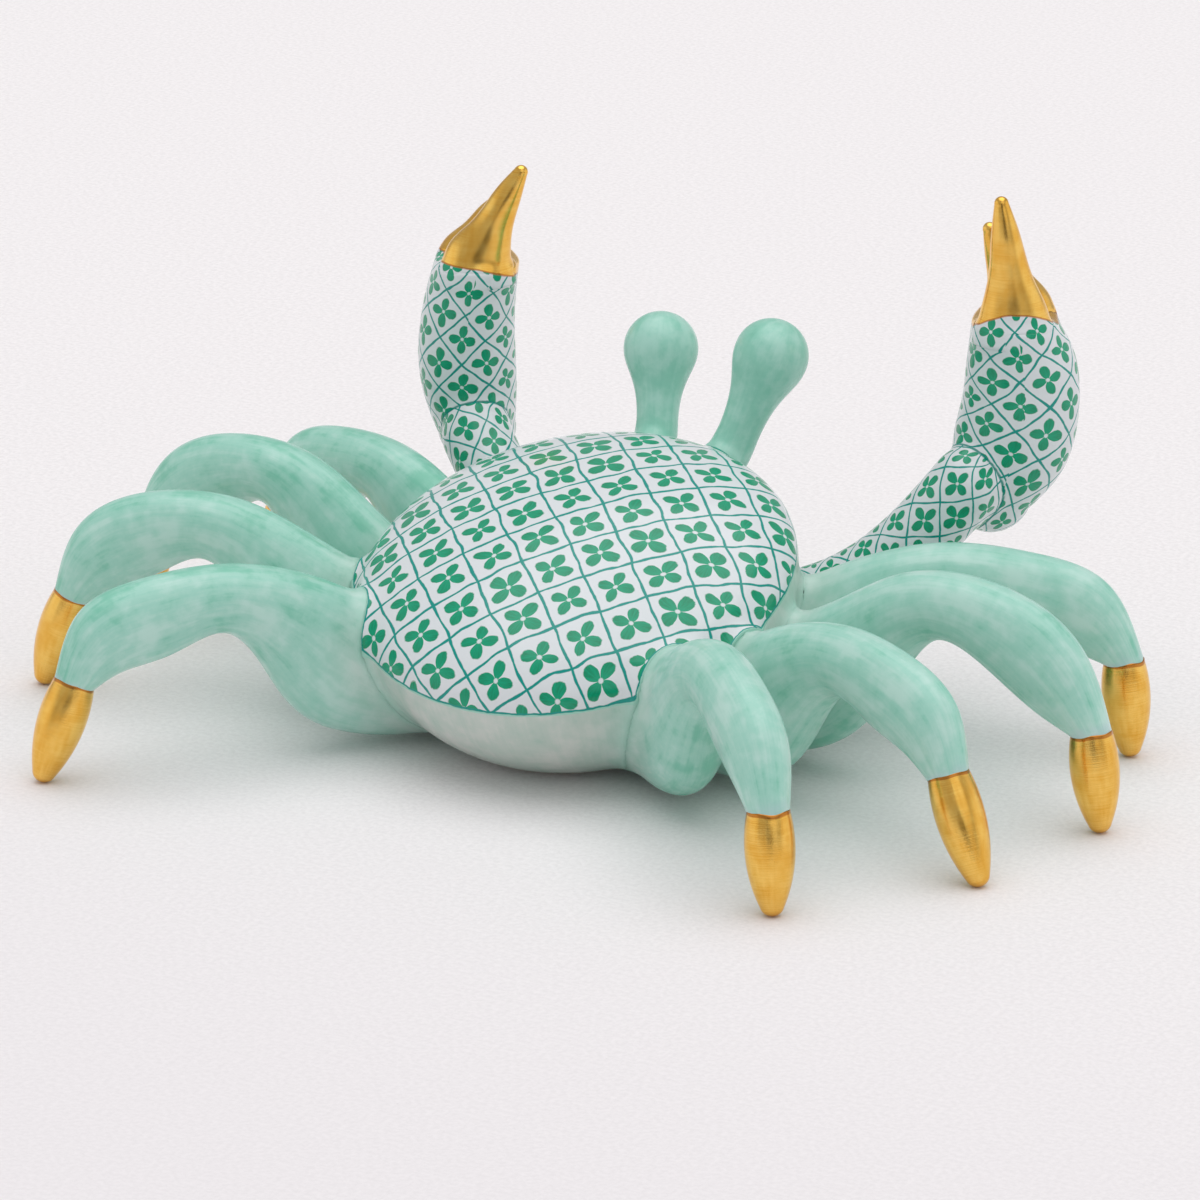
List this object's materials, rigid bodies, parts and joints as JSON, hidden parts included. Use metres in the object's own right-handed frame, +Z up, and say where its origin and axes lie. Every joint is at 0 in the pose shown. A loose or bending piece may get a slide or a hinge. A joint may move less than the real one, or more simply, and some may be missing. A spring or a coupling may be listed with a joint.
{
  "type": "crab figurine",
  "caption": "Small glazed porcelain crab that stands on bent legs with gilded toes, both claws raised and its eyes up on stalks. A shelf ornament.",
  "frame": {"origin": "centre of the flat foot under the belly, on the surface that the figurine stands on", "axes": "+X to the crab's right, +Y the way it faces, +Z up"},
  "size_m": [0.1458, 0.0948, 0.0667],
  "materials": {
    "painted_porcelain": "cool white glazed porcelain with a hand-painted green trellis",
    "washed_porcelain": "glazed porcelain under a brushed mint-green wash",
    "gilding": "burnished gold with fine brush lines"
  },
  "bodies": {
    "root": {"carapace": "painted_porcelain", "belly": "washed_porcelain", "right_leg_1": "washed_porcelain", "right_toe_gilding_1": "gilding", "right_leg_2": "washed_porcelain", "right_toe_gilding_2": "gilding", "right_leg_3": "washed_porcelain", "right_toe_gilding_3": "gilding", "right_leg_4": "washed_porcelain", "right_toe_gilding_4": "gilding", "right_arm": "painted_porcelain", "right_claw": "painted_porcelain", "right_rear_finger_gilding": "gilding", "right_front_finger_gilding": "gilding", "right_eye": "washed_porcelain", "left_leg_1": "washed_porcelain", "left_toe_gilding_1": "gilding", "left_leg_2": "washed_porcelain", "left_toe_gilding_2": "gilding", "left_leg_3": "washed_porcelain", "left_toe_gilding_3": "gilding", "left_leg_4": "washed_porcelain", "left_toe_gilding_4": "gilding", "left_arm": "painted_porcelain", "left_claw": "painted_porcelain", "left_rear_finger_gilding": "gilding", "left_front_finger_gilding": "gilding", "left_eye": "washed_porcelain"}
  },
  "joints": []
}
